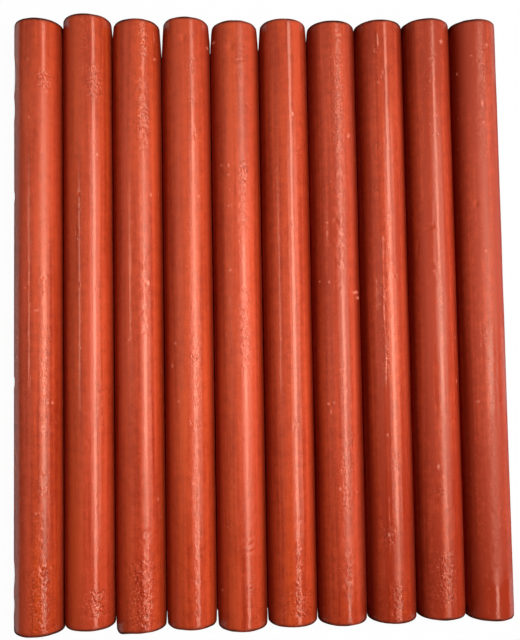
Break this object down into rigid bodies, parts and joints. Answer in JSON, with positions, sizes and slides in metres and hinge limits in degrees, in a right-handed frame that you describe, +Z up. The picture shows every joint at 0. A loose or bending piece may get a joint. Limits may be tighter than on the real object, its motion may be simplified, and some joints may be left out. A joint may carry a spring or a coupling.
{
  "type": "sealing wax sticks",
  "caption": "Row of plain round red sealing wax sticks with square-cut, softly rounded ends and no wick, lying side by side, to be melted in a wax gun or over a flame.",
  "frame": {"origin": "on the table, under the middle of the row's box", "axes": "+X across the row from left to right, +Y along the sticks to their far ends, +Z up from the table"},
  "size_m": [0.111, 0.136, 0.011],
  "materials": {
    "sealing_wax": "cast sealing wax with a satin sheen, lengthwise streaks and small pits"
  },
  "bodies": {
    "stick_01": {"stick_01": "sealing_wax"},
    "stick_02": {"stick_02": "sealing_wax"},
    "stick_03": {"stick_03": "sealing_wax"},
    "stick_04": {"stick_04": "sealing_wax"},
    "stick_05": {"stick_05": "sealing_wax"},
    "stick_06": {"stick_06": "sealing_wax"},
    "stick_07": {"stick_07": "sealing_wax"},
    "stick_08": {"stick_08": "sealing_wax"},
    "stick_09": {"stick_09": "sealing_wax"},
    "stick_10": {"stick_10": "sealing_wax"}
  },
  "joints": [
    {"name": "stick_01_slide", "type": "slide", "parent": "stick_05", "child": "stick_01", "axis": [0, 1, 0], "range_m": [-0.14, 0.14]},
    {"name": "stick_02_slide", "type": "slide", "parent": "stick_05", "child": "stick_02", "axis": [0, 1, 0], "range_m": [-0.14, 0.14]},
    {"name": "stick_03_slide", "type": "slide", "parent": "stick_05", "child": "stick_03", "axis": [0, 1, 0], "range_m": [-0.14, 0.14]},
    {"name": "stick_04_slide", "type": "slide", "parent": "stick_05", "child": "stick_04", "axis": [0, 1, 0], "range_m": [-0.14, 0.14]},
    {"name": "stick_06_slide", "type": "slide", "parent": "stick_05", "child": "stick_06", "axis": [0, 1, 0], "range_m": [-0.14, 0.14]},
    {"name": "stick_07_slide", "type": "slide", "parent": "stick_05", "child": "stick_07", "axis": [0, 1, 0], "range_m": [-0.14, 0.14]},
    {"name": "stick_08_slide", "type": "slide", "parent": "stick_05", "child": "stick_08", "axis": [0, 1, 0], "range_m": [-0.14, 0.14]},
    {"name": "stick_09_slide", "type": "slide", "parent": "stick_05", "child": "stick_09", "axis": [0, 1, 0], "range_m": [-0.14, 0.14]},
    {"name": "stick_10_slide", "type": "slide", "parent": "stick_05", "child": "stick_10", "axis": [0, 1, 0], "range_m": [-0.14, 0.14]}
  ]
}
